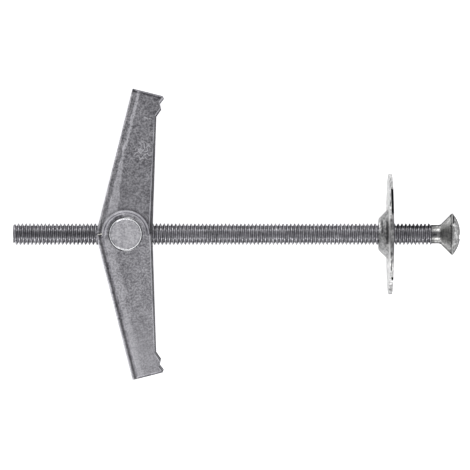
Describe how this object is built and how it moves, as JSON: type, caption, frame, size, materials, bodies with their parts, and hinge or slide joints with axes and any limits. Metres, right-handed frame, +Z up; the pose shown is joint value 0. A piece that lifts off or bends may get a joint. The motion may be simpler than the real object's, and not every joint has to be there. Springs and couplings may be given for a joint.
{
  "type": "spring toggle bolt",
  "caption": "Spring toggle bolt: a raised countersunk machine screw with a barrel nut, folding sprung wings and a dished washer.",
  "frame": {"origin": "middle of the washer's bearing face, on the screw's axis, with the bolt lying as it rests on a flat surface", "axes": "+Z up; +X along the floor from the tip towards the head, the screw's axis rises 6.76 degrees above it; +Y to the upper wing"},
  "size_m": [0.0812, 0.053, 0.0219],
  "materials": {
    "screw_zinc": "bright zinc plated, rolled thread",
    "washer_zinc": "bright zinc plated, pressed and tumbled",
    "nut_zinc": "zinc plated, cropped end",
    "wing_zinc": "dull zinc plated sheet, tumbled",
    "spring_wire": "drawn spring wire"
  },
  "bodies": {
    "screw": {"screw": "screw_zinc"},
    "washer": {"washer": "washer_zinc"},
    "nut": {"nut": "nut_zinc", "spring": "spring_wire"},
    "wing_upper": {"wing_upper": "wing_zinc"},
    "wing_lower": {"wing_lower": "wing_zinc"}
  },
  "joints": [
    {"name": "nut_travel", "type": "slide", "parent": "screw", "child": "nut", "axis": [0.993, 0, 0.1177], "range_m": [-0.017, 0.01]},
    {"name": "wing_upper_fold", "type": "hinge", "parent": "nut", "child": "wing_upper", "pos_m": [-0.04747, 0, -0.00563], "axis": [0.1177, 0, -0.993], "range_deg": [0, 75.9], "stiffness_Nm_per_rad": 0.008, "springref_deg": -57.3, "deforming": ["spring"]},
    {"name": "wing_lower_fold", "type": "hinge", "parent": "nut", "child": "wing_lower", "pos_m": [-0.04747, 0, -0.00563], "axis": [-0.1177, 0, 0.993], "range_deg": [0, 75.9], "stiffness_Nm_per_rad": 0.008, "springref_deg": -57.3},
    {"name": "washer_slide", "type": "slide", "parent": "screw", "child": "washer", "axis": [0.993, 0, 0.1177], "range_m": [-0.009, 0.0112]}
  ]
}
